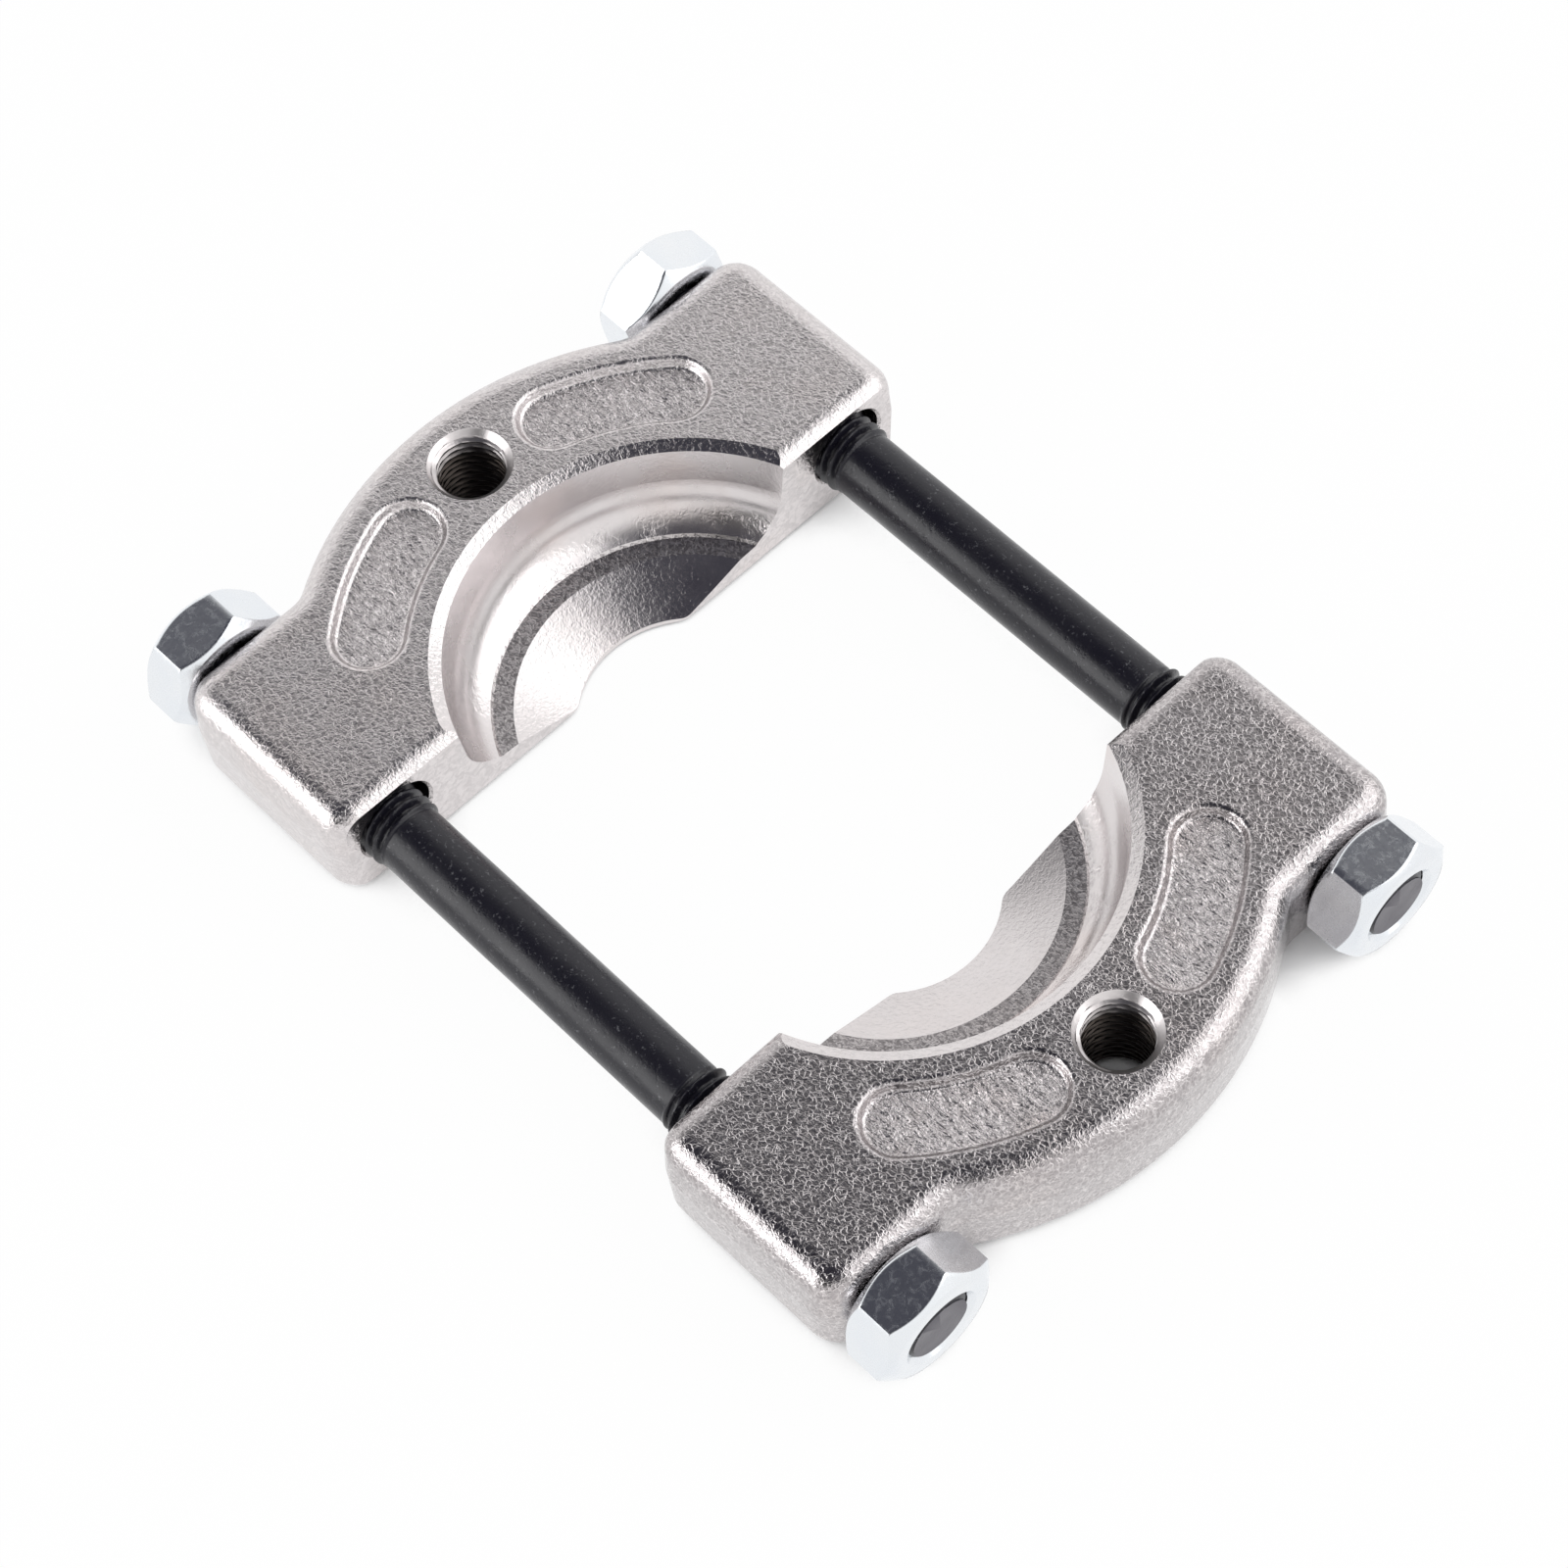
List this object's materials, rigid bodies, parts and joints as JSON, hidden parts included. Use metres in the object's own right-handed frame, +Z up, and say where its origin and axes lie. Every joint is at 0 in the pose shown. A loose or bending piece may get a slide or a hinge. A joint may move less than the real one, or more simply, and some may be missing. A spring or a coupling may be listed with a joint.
{
  "type": "bearing separator",
  "caption": "Bearing separator: cast half-jaws with a stepped half-round opening and a knife edge each, sliding on threaded rods and drawn together by hexagon nuts",
  "frame": {"origin": "under the middle of the tool, at the height of the lowest nut corner, on which the tool lies", "axes": "+X along the rods from jaw A to jaw B, +Y across the tool towards rod 1, +Z up, away from the knife edges"},
  "size_m": [0.1886, 0.1346, 0.0264],
  "materials": {
    "cast_nickel": "satin",
    "black_oxide": "satin",
    "zinc": "satin"
  },
  "bodies": {
    "rods": {"rod_1": "black_oxide", "rod_2": "black_oxide"},
    "jaw_a": {"jaw_a": "cast_nickel"},
    "jaw_b": {"jaw_b": "cast_nickel"},
    "nut_a1": {"nut_a1": "zinc"},
    "nut_a2": {"nut_a2": "zinc"},
    "nut_b1": {"nut_b1": "zinc"},
    "nut_b2": {"nut_b2": "zinc"}
  },
  "joints": [
    {"name": "jaw_a_slide", "type": "slide", "parent": "rods", "child": "jaw_a", "axis": [1, 0, 0], "range_m": [0, 0.0399]},
    {"name": "jaw_b_slide", "type": "slide", "parent": "rods", "child": "jaw_b", "axis": [-1, 0, 0], "range_m": [0, 0.0399]},
    {"name": "nut_a1_turn", "type": "hinge", "parent": "jaw_a", "child": "nut_a1", "pos_m": [-0.0876, 0.05401, 0.01328], "axis": [1, 0, 0], "range_deg": [0, 7182]},
    {"name": "nut_a2_turn", "type": "hinge", "parent": "jaw_a", "child": "nut_a2", "pos_m": [-0.0876, -0.05401, 0.01328], "axis": [1, 0, 0], "range_deg": [0, 7182]},
    {"name": "nut_b1_turn", "type": "hinge", "parent": "jaw_b", "child": "nut_b1", "pos_m": [0.0876, 0.05401, 0.01328], "axis": [-1, 0, 0], "range_deg": [0, 7182]},
    {"name": "nut_b2_turn", "type": "hinge", "parent": "jaw_b", "child": "nut_b2", "pos_m": [0.0876, -0.05401, 0.01328], "axis": [-1, 0, 0], "range_deg": [0, 7182]}
  ],
  "couplings": [
    {"joint": "nut_a1_turn", "follows": "jaw_a_slide", "rad_per_m": 3141.6},
    {"joint": "nut_a2_turn", "follows": "jaw_a_slide", "rad_per_m": 3141.6},
    {"joint": "nut_b1_turn", "follows": "jaw_b_slide", "rad_per_m": 3141.6},
    {"joint": "nut_b2_turn", "follows": "jaw_b_slide", "rad_per_m": 3141.6}
  ]
}
